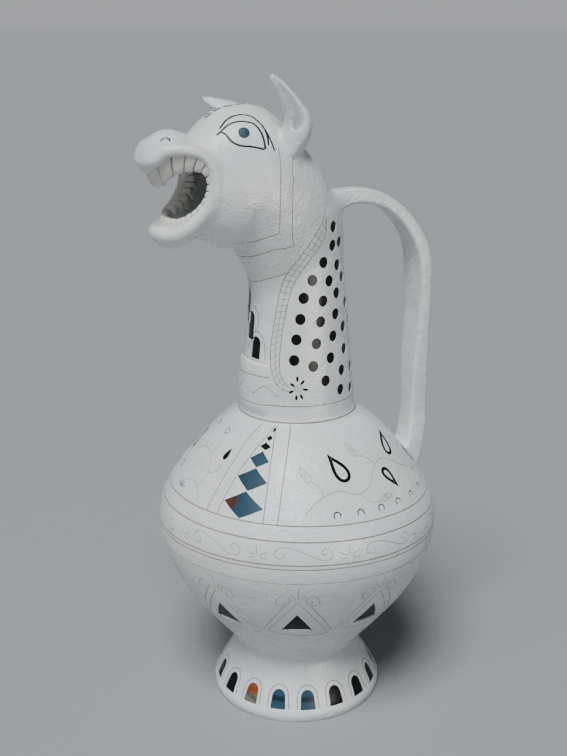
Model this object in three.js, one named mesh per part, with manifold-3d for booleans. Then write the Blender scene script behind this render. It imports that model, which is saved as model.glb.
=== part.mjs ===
// A tall glazed pitcher: round body on a flared foot, tapering neck, braying animal head as spout.
// Millimetres, +Z up. The axis of the body is X = Y = 0 and the foot stands on Z = 0.
// The head looks towards -X and the handle is on the +X side.
import * as THREE from "three";
import { mergeVertices } from "three/addons/utils/BufferGeometryUtils.js";
import Module from "manifold-3d";

const WALL = 7;
const FLOOR = 8;
const FLOOR_INSET = 16;
const TURNS = 36;

// Outer profile of foot, body and neck, as radius and height. Between its named points the
// rows are shares of the way from one point to the next.
const FOOT_R = 79.5;
const RIM_H = 9.5;
const WAIST_R = 58;
const WAIST_Z = 51;
const BELLY_R = 129.2;
const BELLY_Z = 180;
const NECK_R = 53;
const NECK_Z = 284;
const NECK_TOP_R = 38.5;
const NECK_TOP_Z = 456;
const between = ([r0, z0], [r1, z1], shares) => (
  shares.map(([r, z]) => [r0 + r * (r1 - r0), z0 + z * (z1 - z0)])
);
const FOOT_TOP = [FOOT_R - 1.5, RIM_H + 1.8];
const WAIST = [WAIST_R, WAIST_Z];
const BELLY = [BELLY_R, BELLY_Z];
const SHOULDER_END = [NECK_R + 1, NECK_Z - 1];
const NECK_START = [NECK_R - 0.8, NECK_Z + 3];
const NECK_END = [NECK_TOP_R, NECK_TOP_Z];
const PROFILE = [
  [FOOT_R - 0.8, 0], [FOOT_R, 0.8], [FOOT_R + 0.5, RIM_H], FOOT_TOP,
  ...between(FOOT_TOP, WAIST, [
    [0.125, 0.169], [0.375, 0.395], [0.675, 0.635], [0.91, 0.849],
  ]),
  WAIST,
  ...between(WAIST, BELLY, [
    [0.039, 0.043], [0.112, 0.101], [0.253, 0.194], [0.435, 0.318], [0.632, 0.457], [0.801, 0.612],
    [0.916, 0.76], [0.963, 0.837], [0.994, 0.922],
  ]),
  BELLY,
  ...between(BELLY, SHOULDER_END, [
    [0.016, 0.107], [0.056, 0.209], [0.132, 0.32], [0.253, 0.451], [0.402, 0.592], [0.568, 0.738],
    [0.734, 0.859], [0.887, 0.951],
  ]),
  SHOULDER_END, NECK_START,
  ...between(NECK_START, NECK_END, [
    [0.088, 0.071], [0.19, 0.195], [0.38, 0.349], [0.599, 0.562], [0.861, 0.811],
  ]),
  NECK_END, [NECK_TOP_R - 3, NECK_TOP_Z + 12], [NECK_TOP_R - 9.5, NECK_TOP_Z + 21],
];

// A collar stands proud of the front of the neck.
const COLLAR = { out: 3.2, low: NECK_Z + 2, high: NECK_Z + 50, half: 47, turn: 166 };

// Half sections of the head, across it, from the nape to the corners of the mouth:
// distance ahead of the axis, lowest height, three widths with their heights, highest height.
const HEAD = [
  [-24.5, 464, 5, 468, 7.5, 475, 5, 482, 486],
  [-22, 448, 15, 456, 20, 471, 14, 485, 491.5],
  [-16, 428, 26, 444, 31.5, 470, 23, 492, 503],
  [-7, 410, 33, 435, 39, 472, 30, 502, 515],
  [4, 399, 36.5, 428, 43.5, 474, 34, 511, 527],
  [18, 388, 34, 414, 46, 478, 36, 521, 540],
  [32, 386, 30, 409, 47, 482, 36, 531, 551],
  [44, 405.5, 27, 421, 47, 484, 35, 536, 555],
  [54, 423, 28, 438, 46, 484, 33, 538, 555.7],
  [61.5, 436.5, 32, 449, 44.8, 484, 31, 538, 554.5],
  [73, 436, 31, 450, 42.3, 484, 29.5, 534, 550.5],
  [84, 441.5, 29, 453, 39.3, 484, 28, 528, 542.5],
  [93, 445.5, 28, 455, 37, 484, 27.5, 522, 535],
];
const MUZZLE = [
  [100, 462, 27, 480, 35, 502, 27.5, 521.5, 533],
  [108, 490, 25, 498, 32.8, 510, 26.5, 524, 535],
  [116, 503, 22, 508, 30, 517, 25, 527, 537],
  [124, 505, 22, 509, 27.5, 517, 23, 527, 536.3],
  [132, 503, 19.5, 507, 24, 515, 19, 525, 531.5],
  [138.5, 502, 13.5, 506, 17, 513, 13, 520, 525.5],
  [142.5, 507, 5, 510, 7, 514, 5, 518, 520],
];
const JAW = [
  [100, 446, 27, 454, 33, 468, 25, 485, 497],
  [108, 442.5, 25, 450, 30.5, 459, 22, 467, 471],
  [117, 439.5, 22, 446.5, 26.5, 454, 19, 460, 463],
  [124.5, 441, 17, 446.5, 20.5, 453, 15, 458, 460.5],
  [130.5, 445, 10.5, 449, 13, 453.5, 10, 457.5, 459],
  [134.5, 449.5, 4, 451.5, 5, 454, 4, 456.5, 457.5],
];

// The same for the hollow inside the head, one even wall in.
const HOLLOW = [
  [-17.5, 462, 4, 466, 6, 472, 4, 478, 482],
  [-15, 448, 14, 456, 18, 470, 13, 482, 488],
  [-7, 422, 26, 440, 31, 470, 22, 494, 503],
  [4, 412, 30, 436, 36, 472, 26, 505, 517],
  [18, 410, 28, 430, 38.5, 478, 28.5, 514, 530.5],
  [32, 414, 27, 434, 39.5, 482, 29, 523, 542],
  [46, 428, 26, 446, 39.5, 484, 28, 528, 546],
  [58, 442, 25.5, 453, 37.8, 484, 26, 530, 545.5],
  [72, 445, 24.5, 456, 35, 484, 23, 525, 541],
  [84, 449, 22.5, 458, 32, 484, 21, 517, 532],
  [94, 451.5, 21.5, 460, 29.5, 484, 20, 511, 524.5],
  [104, 450, 19.5, 459, 26, 484, 19, 511, 523.5],
  [113, 448.5, 16, 457, 22.5, 484, 17, 512, 525],
  [120, 450, 12, 457, 18.5, 484, 14, 510, 523],
  [125.5, 455, 6, 459, 10, 484, 8, 507, 517],
];

// The lip, half way round from the lower front to the upper front:
// ahead, aside, up and lip radius, then the edge of the teeth inside it.
const RIM = [
  [129, 0, 454.5, 4.4, 122.5, 0, 465.8],
  [127.3, 10, 454, 4.4, 121, 9, 465.8],
  [123, 19.5, 454.5, 4.4, 118, 16.5, 466.2],
  [116, 27, 458.5, 4.2, 113.5, 23.5, 469],
  [105.5, 31.5, 466.5, 4.2, 106.5, 28, 474.5],
  [97, 34.5, 477.5, 4, 100.5, 31.5, 482],
  [92.8, 36.5, 488.5, 4, 97.2, 33, 489.3],
  [91.8, 37, 500, 4, 96.6, 33.5, 497],
  [94, 36.5, 510.5, 4, 99.3, 32, 503],
  [100.3, 35, 518.8, 4.2, 104.5, 30, 505],
  [110.5, 32, 522.3, 4.3, 112, 27, 505],
  [121, 28.5, 522.8, 4.4, 119, 23, 503.5],
  [130, 22.5, 520.8, 4.8, 124, 17, 498.5],
  [135.2, 13, 513.5, 6, 127.5, 9, 493],
  [136.5, 0, 508.5, 6.8, 129, 0, 491.5],
];
// Widths of the teeth in the same order, as shares of the half run.
const TEETH = [8, 12.2, 12.2, 8, 7.2, 9, 8.2, 7, 7.6, 8.7, 10.2, 10.2, 10.5, 12, 15.2, 19.9];
const TOOTH_T = 5;

// Ears: ahead, aside, up, half width, half thickness.
const NEAR_EAR = [
  [24, 29, 509, 10, 8], [22, 34, 520, 11.5, 9], [19.5, 39, 532, 12.8, 8.6], [19.5, 42, 541, 12.6, 7.6],
  [22.8, 44, 551, 9.2, 5.8], [29, 45.3, 562, 6.8, 4.2], [36, 46, 572.5, 4.6, 3.1], [42.3, 46.3, 580, 2.4, 2.1],
];
const FAR_EAR = [
  [19, -27, 523, 9.5, 8], [23, -34, 531, 11.2, 8.6], [29, -43, 539, 12.2, 7.8], [36.5, -52.5, 545, 9.8, 5.6],
  [45, -61, 549.5, 7, 4.2], [52, -68.5, 552.8, 4.6, 3.1], [57.5, -74, 555, 2.4, 2.1],
];

// Strap handle from the nape over and down to the shoulder. It hangs inside the widest line of
// the belly: share of that reach behind the axis, height, half thickness, half width.
const STRAP_INSET = 3.2;
const STRAP_REACH = BELLY_R - STRAP_INSET;
const STRAP = [
  [0.1905, 465, 11.5, 9], [0.3389, 471.6, 7.9, 8.5], [0.4603, 472.8, 7, 9.2], [0.5714, 470.5, 6.6, 10.2],
  [0.6825, 464.5, 6, 11.2], [0.7778, 455.5, 5.8, 12], [0.8571, 444.5, 6, 13.4], [0.9206, 432, 6.1, 15],
  [0.9675, 416, 6.2, 16.4], [0.9913, 393, 6.4, 16.6], [0.9952, 368, 6.2, 16.5], [0.9889, 342, 6.7, 15.6],
  [0.9833, 315, 7.4, 14], [0.9833, 288, 8.2, 12.6], [0.9857, 262, 8.7, 12], [0.9778, 244, 9, 12.6],
];
// Its lower end sinks into the wall of the shoulder.
const ROOT_Z = 200;
const ROOT_SINK = 16.4;
const ROOT_HALF = 9.5;
const ROOT_WIDE = 14;

// The parts meet at the waist, at the foot of the neck, under the jaw and at both ends of the handle.
const SLIT = 0.3;
const HEAD_Z = 434;
const GRIP_ROOM = 3.5;
const GRIP_X = NECK_TOP_R + GRIP_ROOM;
const GRIP_Z = 230;

const wasm = await Module();
wasm.setup();

// Points in head terms, ahead, aside and up, to the frame of the part.
const place = (ahead, aside, up) => [-ahead, -aside, up];

// A closed solid from rings of points: sides between them, and a fan on each end unless it is a loop.
function skin(rings, loop = false) {
  const n = rings[0].length;
  const points = rings.flat();
  const faces = [];
  const last = loop ? rings.length : rings.length - 1;
  for (let i = 0; i < last; i++) {
    const a = i * n;
    const b = ((i + 1) % rings.length) * n;
    for (let j = 0; j < n; j++) {
      const k = (j + 1) % n;
      faces.push([a + j, a + k, b + k], [a + j, b + k, b + j]);
    }
  }
  if (!loop) {
    for (const [ring, start, flip] of [[rings[0], 0, true], [rings.at(-1), (rings.length - 1) * n, false]]) {
      const centre = [0, 1, 2].map((c) => ring.reduce((s, p) => s + p[c], 0) / n);
      points.push(centre);
      const hub = points.length - 1;
      for (let j = 0; j < n; j++) {
        const k = (j + 1) % n;
        faces.push(flip ? [start + k, start + j, hub] : [start + j, start + k, hub]);
      }
    }
  }
  return closed(points, faces);
}

function closed(points, faces) {
  let volume = 0;
  const [a, b, c] = [new THREE.Vector3(), new THREE.Vector3(), new THREE.Vector3()];
  for (const f of faces) {
    a.fromArray(points[f[0]]);
    b.fromArray(points[f[1]]);
    c.fromArray(points[f[2]]);
    volume += a.dot(b.cross(c));
  }
  const out = volume > 0 ? faces : faces.map((f) => [f[0], f[2], f[1]]);
  return new wasm.Manifold(new wasm.Mesh({
    numProp: 3,
    vertProperties: new Float32Array(points.flat()),
    triVerts: new Uint32Array(out.flat()),
  }));
}

function revolve(rows, turns, swell = () => 0) {
  return skin(rows.map(([r, z]) => Array.from({ length: turns }, (_, j) => {
    const angle = (j / turns) * 2 * Math.PI;
    const radius = r + swell(angle, z);
    return [radius * Math.cos(angle), radius * Math.sin(angle), z];
  })));
}

// Head sections, one smooth closed curve each.
function sections(table, count) {
  return skin(table.map(([ahead, low, w1, z1, w2, z2, w3, z3, high]) => {
    const half = [[w1, z1], [w2, z2], [w3, z3]];
    const ring = [[0, low], ...half, [0, high], ...half.toReversed().map(([w, z]) => [-w, z])];
    const curve = new THREE.CatmullRomCurve3(ring.map(([w, z]) => new THREE.Vector3(w, z, 0)), true);
    return Array.from({ length: count }, (_, j) => {
      const p = curve.getPoint(j / count);
      return place(ahead, p.x, p.y);
    });
  }));
}

const smoothstep = THREE.MathUtils.smoothstep;

// The step of the collar is on the side that faces -X and fades out round the neck.
function collarSwell(angle, z) {
  const away = Math.abs(THREE.MathUtils.radToDeg(angle) - COLLAR.turn);
  const round = 1 - smoothstep(away, COLLAR.half - 5, COLLAR.half + 5);
  const up = smoothstep(z, COLLAR.low, COLLAR.low + 10) * (z <= COLLAR.high ? 1 : 0);
  return COLLAR.out * round * up;
}

function radiusAt(z) {
  const i = PROFILE.findIndex((p) => p[1] >= z);
  const [a, b] = [PROFILE[i - 1], PROFILE[i]];
  return a[0] + ((z - a[1]) / (b[1] - a[1])) * (b[0] - a[0]);
}

function profileWithStep() {
  const rows = PROFILE.map((p) => [...p]);
  for (const z of [COLLAR.high, COLLAR.high + 1.2]) rows.push([radiusAt(z), z]);
  return rows.sort((p, q) => p[1] - q[1]);
}

// The hollow of body and neck follows the outside one wall in.
function hollowProfile() {
  const rows = [[FOOT_R - FLOOR_INSET, FLOOR]];
  for (let i = 1; i < PROFILE.length - 1; i++) {
    const [r, z] = PROFILE[i];
    if (z < FLOOR + 6 || z > NECK_TOP_Z + 4) continue;
    const slope = new THREE.Vector2(PROFILE[i + 1][1] - PROFILE[i - 1][1], PROFILE[i - 1][0] - PROFILE[i + 1][0]);
    slope.normalize();
    rows.push([r - WALL * slope.x, z - WALL * slope.y]);
  }
  return rows.filter(([, z], i) => i === 0 || z > rows[i - 1][1] + 0.5).filter((_, i, all) => i % 2 === 0
    || i === all.length - 1 || Math.abs(all[i][1] - WAIST_Z) < 12);
}

// The rim as one closed run of points round both sides, evenly spaced.
function rimLoop(column, count) {
  const near = RIM.map((r) => new THREE.Vector3(r[column], r[column + 1], r[column + 2]));
  const far = near.slice(1, -1).reverse().map((p) => new THREE.Vector3(p.x, -p.y, p.z));
  const curve = new THREE.CatmullRomCurve3([...near, ...far], true);
  return Array.from({ length: count }, (_, i) => curve.getPoint(i / count));
}

function rimRadius(t) {
  const n = RIM.length - 1;
  const s = (t < 0.5 ? t : 1 - t) * 2 * n;
  const i = Math.min(Math.floor(s), n - 1);
  return RIM[i][3] + (s - i) * (RIM[i + 1][3] - RIM[i][3]);
}

function lips() {
  const count = 48;
  const around = 8;
  const run = rimLoop(0, count);
  const edge = rimLoop(4, count);
  return skin(run.map((p, i) => {
    const along = run[(i + 1) % count].clone().sub(run[(i + count - 1) % count]).normalize();
    const inward = edge[i].clone().sub(p);
    inward.addScaledVector(along, -inward.dot(along)).normalize();
    const outward = along.clone().cross(inward);
    const r = rimRadius(i / count);
    return Array.from({ length: around }, (_, j) => {
      const a = (j / around) * 2 * Math.PI;
      const q = p.clone().addScaledVector(inward, r * Math.cos(a)).addScaledVector(outward, r * Math.sin(a));
      return place(q.x, q.y, q.z);
    });
  }), true);
}

// Teeth all round inside the lip, each a block that narrows a little to its edge.
function teeth() {
  const fine = 480;
  const root = rimLoop(0, fine);
  const edge = rimLoop(4, fine);
  const marks = [0];
  for (let i = 1; i <= fine; i++) marks.push(marks[i - 1] + root[i % fine].distanceTo(root[i - 1]));
  const run = marks[fine];
  const at = (s) => Math.max(marks.findIndex((m) => m > s) - 1, 0) % fine;
  const widths = [...TEETH, ...TEETH.toReversed()];
  const unit = run / widths.reduce((s, w) => s + w, 0);
  let all = null;
  let start = 0;
  for (const share of widths) {
    const width = share * unit;
    const [i, j] = [at(start + 0.04 * width), at(start + 0.96 * width)];
    const mid = at(start + 0.5 * width);
    start += width;
    const down = edge[mid].clone().sub(root[mid]);
    const side = root[j].clone().sub(root[i]);
    const out = down.clone().cross(side).normalize().multiplyScalar(TOOTH_T / 2);
    const back = down.clone().normalize().multiplyScalar(-1);
    const low = [root[i].clone().add(back), root[j].clone().add(back)];
    const tip = [edge[i].clone().lerp(edge[j], 0.07), edge[j].clone().lerp(edge[i], 0.07)];
    const ring = (a, b, f) => [
      a.clone().addScaledVector(out, f), b.clone().addScaledVector(out, f),
      b.clone().addScaledVector(out, -f), a.clone().addScaledVector(out, -f),
    ].map((p) => place(p.x, p.y, p.z));
    const tooth = skin([ring(low[0], low[1], 1.1), ring(tip[0], tip[1], 0.75)]);
    all = all ? all.add(tooth) : tooth;
  }
  return all;
}

// What the open mouth leaves out across the whole head, seen from the side.
function gape() {
  const side = RIM.slice(1, -1).map((r) => [r[0], r[2]]);
  const outline = [[170, 457.5], ...side, [170, 516.5]];
  const ring = (aside) => outline.map(([ahead, up]) => place(ahead, aside, up));
  return skin([ring(-70), ring(70)]);
}

function ear(table) {
  const around = 12;
  const spine = table.map((t) => new THREE.Vector3(t[0], t[1], t[2]));
  const facing = new THREE.Vector3(0.55, table[1][1] > 0 ? 0.83 : -0.83, 0);
  return skin(table.map(([, , , half, thick], i) => {
    const along = spine[Math.min(i + 1, spine.length - 1)].clone().sub(spine[Math.max(i - 1, 0)]).normalize();
    const flat = facing.clone().addScaledVector(along, -facing.dot(along)).normalize();
    const wide = along.clone().cross(flat);
    return Array.from({ length: around }, (_, j) => {
      const a = (j / around) * 2 * Math.PI;
      const p = spine[i].clone();
      p.addScaledVector(wide, half * Math.cos(a)).addScaledVector(flat, thick * Math.sin(a));
      return place(p.x, p.y, p.z);
    });
  }));
}

function handle() {
  const around = 12;
  const rows = STRAP.map(([reach, ...row]) => [reach * STRAP_REACH, ...row]);
  const end = radiusAt(ROOT_Z) - ROOT_SINK;
  const [x, up, thick, wide] = rows.at(-1);
  rows.push([(x + end) / 2 + 2, (up + ROOT_Z) / 2 - 1, (thick + ROOT_HALF) / 2, (wide + ROOT_WIDE) / 2]);
  rows.push([end, ROOT_Z, ROOT_HALF, ROOT_WIDE]);
  const spine = rows.map(([x, up]) => new THREE.Vector2(x, up));
  return skin(rows.map(([, , thick, wide], i) => {
    const along = spine[Math.min(i + 1, spine.length - 1)].clone().sub(spine[Math.max(i - 1, 0)]).normalize();
    const out = new THREE.Vector2(-along.y, along.x);
    return Array.from({ length: around }, (_, j) => {
      const a = ((j + 0.5) / around) * 2 * Math.PI;
      const square = (v) => Math.sign(v) * Math.abs(v) ** 0.4;
      const p = spine[i].clone().addScaledVector(out, thick * square(Math.sin(a)));
      return [p.x, wide * square(Math.cos(a)), p.y];
    });
  }));
}

// Everything between two heights.
function level(low, high) {
  return skin([low, high].map((z) => [[-300, -300, z], [300, -300, z], [300, 300, z], [-300, 300, z]]));
}

// The space of the free part of the handle, seen from the side.
function gripSpace(slit) {
  const [x, z] = [GRIP_X + slit, GRIP_Z + slit];
  const out = radiusAt(GRIP_Z) + GRIP_ROOM;
  const outline = [[x, 700], [x, NECK_TOP_Z - 31], [out, NECK_Z + 1], [out, z], [300, z], [300, 700]];
  return skin([-80, 80].map((y) => outline.map(([a, b]) => [a, y, b])));
}

let pitcher = revolve(profileWithStep(), TURNS, collarSwell);
pitcher = pitcher.add(sections([...HEAD, ...MUZZLE], 24));
pitcher = pitcher.add(sections([...HEAD.slice(-4), ...JAW], 24));
pitcher = pitcher.add(handle());
pitcher = pitcher.subtract(gape());
pitcher = pitcher.add(lips());
pitcher = pitcher.add(ear(NEAR_EAR)).add(ear(FAR_EAR));
pitcher = pitcher.subtract(revolve(hollowProfile(), TURNS - 4));
pitcher = pitcher.subtract(sections(HOLLOW, 16));
pitcher = pitcher.add(teeth());

const free = pitcher.subtract(gripSpace(0));
const solids = {
  foot: free.intersect(level(-1, WAIST_Z)),
  body: free.intersect(level(WAIST_Z + SLIT, NECK_Z)),
  neck: free.intersect(level(NECK_Z + SLIT, HEAD_Z)),
  head: free.intersect(level(HEAD_Z + SLIT, 700)),
  handle: pitcher.intersect(gripSpace(SLIT)),
};

function toMesh(name, solid) {
  const mesh = solid.getMesh();
  const raw = new THREE.BufferGeometry();
  raw.setAttribute("position", new THREE.BufferAttribute(new Float32Array(mesh.vertProperties), 3));
  raw.setIndex(new THREE.BufferAttribute(new Uint32Array(mesh.triVerts), 1));
  const geometry = mergeVertices(raw, 1e-4);
  geometry.computeVertexNormals();
  const glaze = new THREE.MeshStandardMaterial({ color: 0xd9dcdc, roughness: 0.35, metalness: 0 });
  const body = new THREE.Mesh(geometry, glaze);
  body.name = name;
  return body;
}

const root = new THREE.Group();
root.name = "oinochoe";
for (const [name, solid] of Object.entries(solids)) root.add(toMesh(name, solid));
export default root;
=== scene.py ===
from math import atan2, ceil, cos, dist, floor, hypot, pi, radians, sin

import bmesh
import bpy
import numpy as np
import openvdb
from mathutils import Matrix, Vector
from mathutils.bvhtree import BVHTree


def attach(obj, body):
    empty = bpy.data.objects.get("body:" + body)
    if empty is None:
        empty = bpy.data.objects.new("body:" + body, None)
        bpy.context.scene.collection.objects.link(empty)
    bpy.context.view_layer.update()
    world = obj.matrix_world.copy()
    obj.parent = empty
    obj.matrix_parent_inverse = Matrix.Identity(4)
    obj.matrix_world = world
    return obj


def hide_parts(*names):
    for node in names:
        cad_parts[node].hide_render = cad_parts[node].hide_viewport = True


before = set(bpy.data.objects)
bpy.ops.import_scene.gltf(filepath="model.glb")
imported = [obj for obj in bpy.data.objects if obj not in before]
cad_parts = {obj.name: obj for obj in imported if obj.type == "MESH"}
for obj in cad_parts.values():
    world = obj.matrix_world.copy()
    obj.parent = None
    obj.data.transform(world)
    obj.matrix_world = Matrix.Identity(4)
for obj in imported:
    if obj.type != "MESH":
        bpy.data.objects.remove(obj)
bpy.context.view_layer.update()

MM = 0.001

# Outer profile of foot, body and neck in millimetres: radius and height.
PROFILE = [
    (78.7, 0), (79.5, 0.8), (80, 9.5), (78, 11.3),
    (75.5, 18), (70.5, 27), (64.5, 36.5), (59.8, 45), (58, 51),
    (60.8, 56.5), (66, 64), (76, 76), (89, 92), (103, 110), (115, 130), (123.2, 149),
    (126.6, 159), (128.8, 170), (129.2, 180), (128, 191), (125, 201.5), (119.3, 213),
    (110.2, 226.5), (99, 241), (86.5, 256), (74, 268.5), (62.5, 278),
    (54, 283), (52.2, 287), (51, 299), (49.6, 320),
    (47, 346), (44, 382), (40.4, 424), (38.5, 456), (35.5, 468), (29, 477),
]
CORNERS = {0, 1, 2, 3, 8, 27}
# The collar on the front of the neck: thickness, heights, half its bearings and their middle.
COLLAR_OUT, COLLAR_LOW, COLLAR_HIGH, COLLAR_HALF, COLLAR_MID = 3.2, 286.0, 334.0, 47.0, -14.0
WALL = 7.0
FLOOR = 8.0

# Sections of the head: ahead, lowest, three widths with their heights, highest.
HEAD = [
    (-24.5, 464, 5, 468, 7.5, 475, 5, 482, 486),
    (-22, 448, 15, 456, 20, 471, 14, 485, 491.5),
    (-16, 428, 26, 444, 31.5, 470, 23, 492, 503),
    (-7, 410, 33, 435, 39, 472, 30, 502, 515),
    (4, 399, 36.5, 428, 43.5, 474, 34, 511, 527),
    (18, 388, 34, 414, 46, 478, 36, 521, 540),
    (32, 386, 30, 409, 47, 482, 36, 531, 551),
    (44, 405.5, 27, 421, 47, 484, 35, 536, 555),
    (54, 423, 28, 438, 46, 484, 33, 538, 555.7),
    (61.5, 436.5, 32, 449, 44.8, 484, 31, 538, 554.5),
    (73, 436, 31, 450, 42.3, 484, 29.5, 535, 552.2),
    (84, 441.5, 29, 453, 39.3, 484, 28, 529.5, 545.5),
    (93, 445.5, 28, 455, 37, 484, 27.5, 523, 537),
]
MUZZLE = [
    (100, 462, 27, 480, 35, 502, 27.5, 521.5, 533),
    (108, 490, 25, 498, 32.8, 510, 26.5, 524, 535),
    (116, 503, 22, 508, 30, 517, 25, 527, 537),
    (124, 505, 22, 509, 27.5, 517, 23, 527, 536.3),
    (132, 503, 19.5, 507, 24, 515, 19, 525, 531.5),
    (138.5, 502, 13.5, 506, 17, 513, 13, 520, 525.5),
    (141.5, 507, 5, 510, 7, 514, 5, 518, 520),
]
JAW = [
    (100, 446, 27, 454, 33, 468, 25, 485, 497),
    (108, 442.5, 25, 450, 30.5, 459, 22, 467, 471),
    (117, 439.5, 22, 446.5, 26.5, 454, 19, 460, 463),
    (124.5, 441, 17, 446.5, 20.5, 453, 15, 458, 460.5),
    (130.5, 445, 10.5, 449, 13, 453.5, 10, 457.5, 459),
    (133.3, 449.5, 4, 451.5, 5, 454, 4, 456.5, 457.5),
]
HOLLOW = [
    (-17.5, 462, 4, 466, 6, 472, 4, 478, 482),
    (-15, 448, 14, 456, 18, 470, 13, 482, 488),
    (-7, 422, 26, 440, 31, 470, 22, 494, 503),
    (4, 412, 30, 436, 36, 472, 26, 505, 517),
    (18, 410, 28, 430, 38.5, 478, 28.5, 514, 530.5),
    (32, 414, 27, 434, 39.5, 482, 29, 523, 542),
    (46, 428, 26, 446, 39.5, 484, 28, 528, 546),
    (58, 442, 25.5, 453, 37.8, 484, 26, 530, 545.5),
    (72, 445, 24.5, 456, 35, 484, 23, 525, 541),
    (84, 449, 22.5, 458, 32, 484, 21, 517, 532),
    (94, 451.5, 21.5, 460, 29.5, 484, 20, 511, 524.5),
    (104, 450, 19.5, 459, 26, 484, 19, 511, 523.5),
    (113, 448.5, 16, 457, 22.5, 484, 17, 512, 525),
    (120, 450, 12, 457, 18.5, 484, 14, 510, 523),
    (125.5, 455, 6, 459, 10, 484, 8, 507, 517),
]
# Half of the mouth's rim, lower front to upper front: ahead, aside, up, lip radius, then the teeth's edge.
RIM = [
    (127.8, 0, 454, 4, 122.5, 0, 465.8),
    (126.3, 10, 453.6, 4, 121, 9, 465.8),
    (122.2, 19.5, 454.2, 4, 118, 16.5, 466.2),
    (115.5, 26.7, 458.2, 3.9, 113.5, 23.5, 469),
    (105.5, 31, 466.5, 3.8, 106.5, 28, 474.5),
    (97, 33.3, 477.5, 3.4, 100.5, 31, 482),
    (92.8, 34.8, 488.5, 3.3, 97.2, 32, 489.3),
    (91.8, 35.2, 500, 3.3, 96.6, 32.4, 497),
    (94, 34.8, 510.5, 3.3, 99.3, 31.4, 503),
    (100.3, 33.8, 518.6, 3.6, 104.5, 29.6, 505),
    (110.5, 31.3, 522.3, 4, 112, 27, 505),
    (121, 28, 522.8, 4.2, 119, 23, 503.5),
    (130, 22, 520.6, 4.5, 124, 17, 498.5),
    (134.8, 13, 513.3, 5.4, 127.5, 9, 493),
    (135.8, 0, 508.3, 6.1, 129, 0, 491.5),
]
# Teeth in the same order: width along the lip, depth into the mouth.
TEETH = [
    (8, 4), (12.2, 4.5), (12.2, 6), (8, 9), (7.2, 11), (9, 12), (8.2, 12), (7, 12),
    (7.6, 12), (8.7, 12), (10.2, 12), (10.2, 11), (10.5, 9), (12, 7), (15.2, 6), (19.9, 6),
]
# A tooth from its root to its edge: height, share of its width, share of its thickness.
TOOTH = [(0, 1, 1), (0.2, 1, 1), (0.65, 1, 1), (0.88, 0.98, 0.94), (0.97, 0.91, 0.8), (1.02, 0.72, 0.5)]
TOOTH_OUT = 2.5
TOOTH_ROOT = 2.0
TOOTH_GAP = 0.2
# A dark band behind the teeth, painted shade that shows in the gaps between them: share of their height,
# thickness to either side.
SHADE_BAND_SHARE, SHADE_BAND_OUT, SHADE_BAND_IN = 0.72, 1.2, 2.2
# Ears: ahead, aside, up, half width, half thickness.
NEAR_EAR = [
    (24.5, 29, 509, 9, 8), (23, 34, 520, 9.8, 8.6), (20.6, 39, 532, 12, 8.4), (20.4, 42, 542, 12.2, 7.4),
    (24.6, 44, 552, 9.4, 5.8), (31.6, 45.3, 562.5, 7.1, 4.2), (39.6, 46, 572.5, 4.8, 3.1),
    (46.2, 46.3, 579.8, 2.4, 2.1),
]
FAR_EAR = [
    (19, -27, 523, 9.5, 8), (23, -34, 531, 11.6, 8.6), (29, -43, 538.5, 13.4, 7.8),
    (36.5, -52.5, 544, 11.8, 5.6), (45, -61, 548.8, 8.4, 4.2), (52, -68.5, 552.4, 5, 3),
    (58, -74.5, 555.2, 1.5, 1.6),
]
EAR_TAIL = [
    (21, 36.5, 539, 6.5, 3.5), (22.5, 39.5, 529, 6.2, 4.2), (25, 41.8, 521.5, 3.6, 3.2),
    (27, 43, 516.5, 1.4, 1.6),
]
# Strap handle: behind the axis, up, half thickness, half width.
STRAP = [
    (24, 465, 11.5, 9), (42.7, 471.6, 7.9, 8.5), (58, 472.8, 7, 9.2), (72, 470.5, 6.6, 10.2),
    (86, 464.5, 6, 11.2), (98, 455.5, 5.8, 12), (108, 444.5, 6, 13.4), (116, 432, 6.1, 15),
    (121.9, 416, 6.2, 16.4), (124.9, 393, 6.4, 16.6), (125.4, 368, 6.2, 16.5), (124.6, 342, 6.7, 15.6),
    (123.9, 315, 7.4, 14), (123.9, 288, 8.2, 12.6), (124.2, 262, 8.7, 12), (123.2, 244, 9, 12.6),
    (118.2, 221, 9.3, 13.3), (109.1, 200, 9.5, 14),
]
STRAP_EDGE = 2.4

# The upper half is a field of distances; below CUT_Z the outside is turned.
VOXEL = 1.6
BAND = 9.0
CUT_Z = 196.0
TURNS = 128
OUTSIDE_FACES = 33000
FLOOR_RADIUS = 60000


def place(p):
    """Ahead, aside and up to the frame of the part."""
    p = np.asarray(p, float)
    return p * np.array([-1.0, -1.0, 1.0])


def catmull(points, per, closed=False):
    """Centripetal curve through the points, per samples to a span."""
    p = np.asarray(points, float)
    ends = (p[-1:], p[:2]) if closed else (2 * p[:1] - p[1:2], 2 * p[-1:] - p[-2:-1])
    p = np.vstack([ends[0], p, ends[1]])
    out = []
    for p0, p1, p2, p3 in zip(p, p[1:], p[2:], p[3:]):
        d0, d1, d2 = (max(np.linalg.norm(b - a), 1e-4) ** 0.5 for a, b in ((p0, p1), (p1, p2), (p2, p3)))
        t1 = ((p1 - p0) / d0 - (p2 - p0) / (d0 + d1) + (p2 - p1) / d1) * d1
        t2 = ((p2 - p1) / d1 - (p3 - p1) / (d1 + d2) + (p3 - p2) / d2) * d1
        for s in np.arange(per) / per:
            out.append(
                (2 * s**3 - 3 * s**2 + 1) * p1 + (s**3 - 2 * s**2 + s) * t1
                + (-2 * s**3 + 3 * s**2) * p2 + (s**3 - s**2) * t2
            )
    if not closed:
        out.append(p[-2])
    return np.array(out)


def unit(v):
    return v / np.maximum(np.linalg.norm(v, axis=-1, keepdims=True), 1e-9)


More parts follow.
